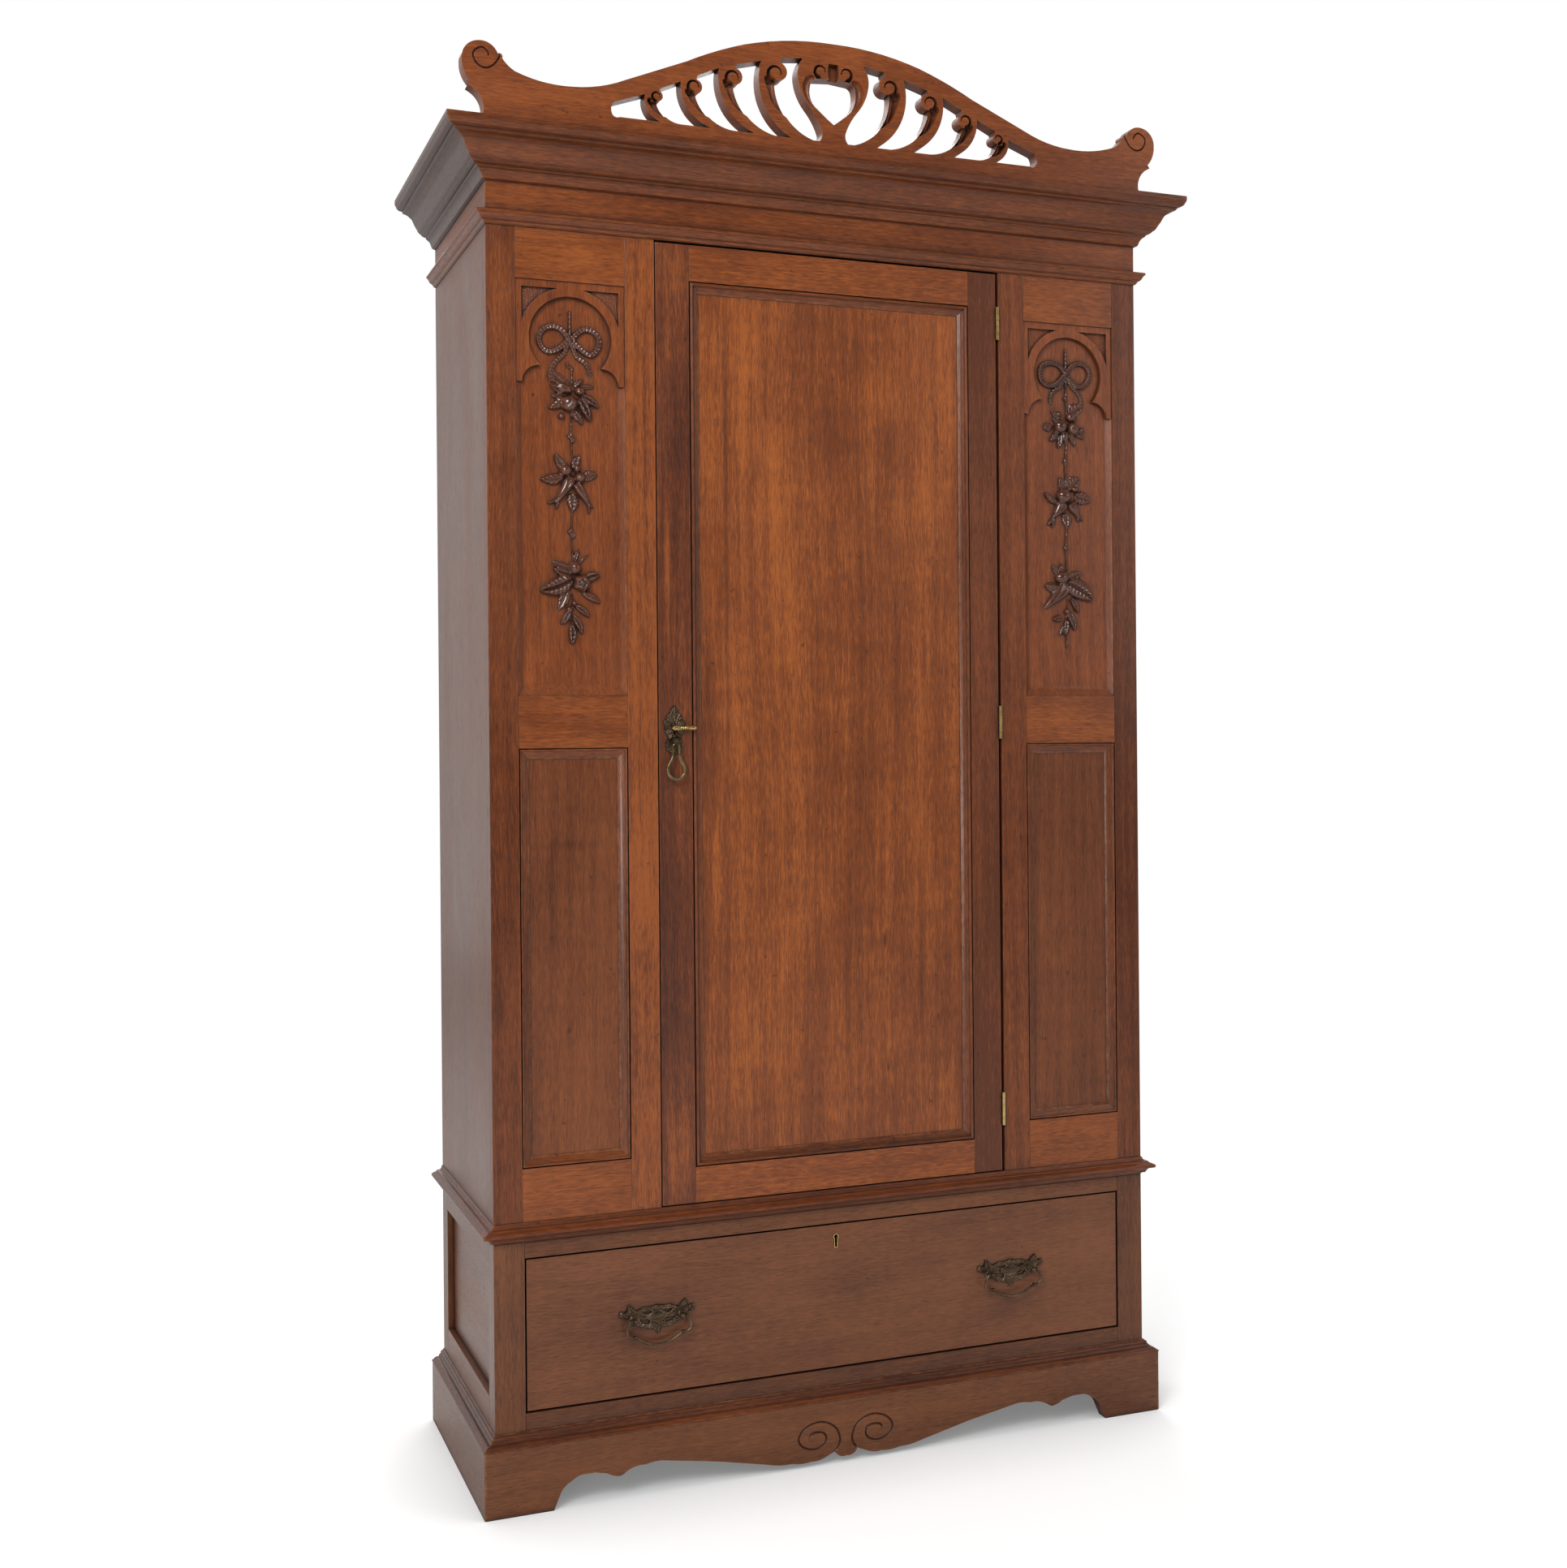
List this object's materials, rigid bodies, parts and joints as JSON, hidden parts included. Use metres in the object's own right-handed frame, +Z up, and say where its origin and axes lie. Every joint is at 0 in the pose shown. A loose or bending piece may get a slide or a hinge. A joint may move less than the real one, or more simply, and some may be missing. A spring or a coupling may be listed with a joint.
{
  "type": "wardrobe",
  "caption": "Tall wooden wardrobe with a framed door between fixed carved wings, a wide drawer in a plinth base, a moulded cornice and a pierced scrolled crest.",
  "frame": {"origin": "middle of the bounding box at floor level", "axes": "+Z up; +Y to the back, so the door and drawer face -Y; +X to the right as seen from the front"},
  "size_m": [1.188, 0.49, 2.165],
  "materials": {
    "case_wood": "french polished, worn",
    "dark_wood": "french polished, darkened",
    "side_wood": "french polished, glossy",
    "base_wood": "french polished, worn",
    "drawer_wood": "french polished",
    "door_wood": "french polished, glossy",
    "moulding_wood": "french polished, dark in the hollows",
    "panel_wood": "french polished",
    "carved_wood": "carved and polished",
    "inside_wood": "unpolished softwood",
    "aged_brass": "stamped, darkened with age",
    "bright_brass": "polished by use",
    "steel": "dull"
  },
  "bodies": {
    "carcass": {"corner_stiles": "case_wood", "inner_stile_right": "case_wood", "wing_rails": "case_wood", "frieze": "case_wood", "cornice_top": "case_wood", "waist_frame": "case_wood", "inner_stile_left": "dark_wood", "case_sides": "side_wood", "base_side_panels": "side_wood", "base_side_rails": "side_wood", "base_posts": "base_wood", "base_rails": "base_wood", "plinth_front": "base_wood", "plinth_sides": "base_wood", "plinth_mould": "moulding_wood", "necking_mould": "moulding_wood", "cornice_mould": "moulding_wood", "lower_slips": "moulding_wood", "lower_panels": "panel_wood", "carved_panel_left": "carved_wood", "carved_panel_right": "carved_wood", "carving_left": "carved_wood", "carving_right": "carved_wood", "crest": "carved_wood", "plinth_back": "inside_wood", "plinth_blocks": "inside_wood", "base_boards": "inside_wood", "base_back": "inside_wood", "drawer_runners": "inside_wood", "case_boards": "inside_wood", "back_boards": "inside_wood", "crest_blocks": "inside_wood", "rail_sockets": "aged_brass", "hinge_pins": "bright_brass", "hinge_frame_leaves": "bright_brass", "hanging_rail": "bright_brass", "strike_plate": "bright_brass"},
    "door": {"hinge_door_leaves": "bright_brass", "door_lock_stile": "dark_wood", "door_hinge_stile": "door_wood", "door_rails": "door_wood", "door_panel": "door_wood", "door_mould": "moulding_wood", "lock_plate": "aged_brass", "lock_case": "steel", "pull_post": "aged_brass"},
    "lock_bolt": {"lock_bolt": "steel"},
    "key": {"key": "bright_brass"},
    "drop_pull": {"drop_pull": "aged_brass"},
    "drawer": {"drawer_front": "drawer_wood", "drawer_sides": "inside_wood", "drawer_back": "inside_wood", "drawer_bottom": "inside_wood", "drawer_lock": "steel", "escutcheon": "bright_brass", "handle_plates": "aged_brass", "handle_posts": "aged_brass"},
    "drawer_bolt": {"drawer_bolt": "steel"},
    "bail_left": {"bail_left": "aged_brass"},
    "bail_right": {"bail_right": "aged_brass"}
  },
  "joints": [
    {"name": "door_swing", "type": "hinge", "parent": "carcass", "child": "door", "pos_m": [0.27975, -0.1839, 1.127], "axis": [0, 0, 1], "range_deg": [0, 170]},
    {"name": "key_turn", "type": "hinge", "parent": "door", "child": "key", "pos_m": [-0.257, -0.1901, 1.121], "axis": [0, -1, 0], "range_deg": [0, 90]},
    {"name": "lock_bolt_throw", "type": "slide", "parent": "door", "child": "lock_bolt", "axis": [-1, 0, 0], "range_m": [0, 0.009]},
    {"name": "pull_swing", "type": "hinge", "parent": "door", "child": "drop_pull", "pos_m": [-0.257, -0.1916, 1.103], "axis": [-1, 0, 0], "range_deg": [0, 80]},
    {"name": "drawer_slide", "type": "slide", "parent": "carcass", "child": "drawer", "axis": [0, -1, 0], "range_m": [0, 0.3]},
    {"name": "drawer_bolt_throw", "type": "slide", "parent": "drawer", "child": "drawer_bolt", "axis": [0, 0, 1], "range_m": [0, 0.008]},
    {"name": "bail_left_swing", "type": "hinge", "parent": "drawer", "child": "bail_left", "pos_m": [-0.29, -0.1918, 0.253], "axis": [-1, 0, 0], "range_deg": [0, 85]},
    {"name": "bail_right_swing", "type": "hinge", "parent": "drawer", "child": "bail_right", "pos_m": [0.29, -0.1918, 0.253], "axis": [-1, 0, 0], "range_deg": [0, 85]}
  ],
  "couplings": [
    {"joint": "lock_bolt_throw", "follows": "key_turn", "m_per_rad": 0.005729}
  ]
}
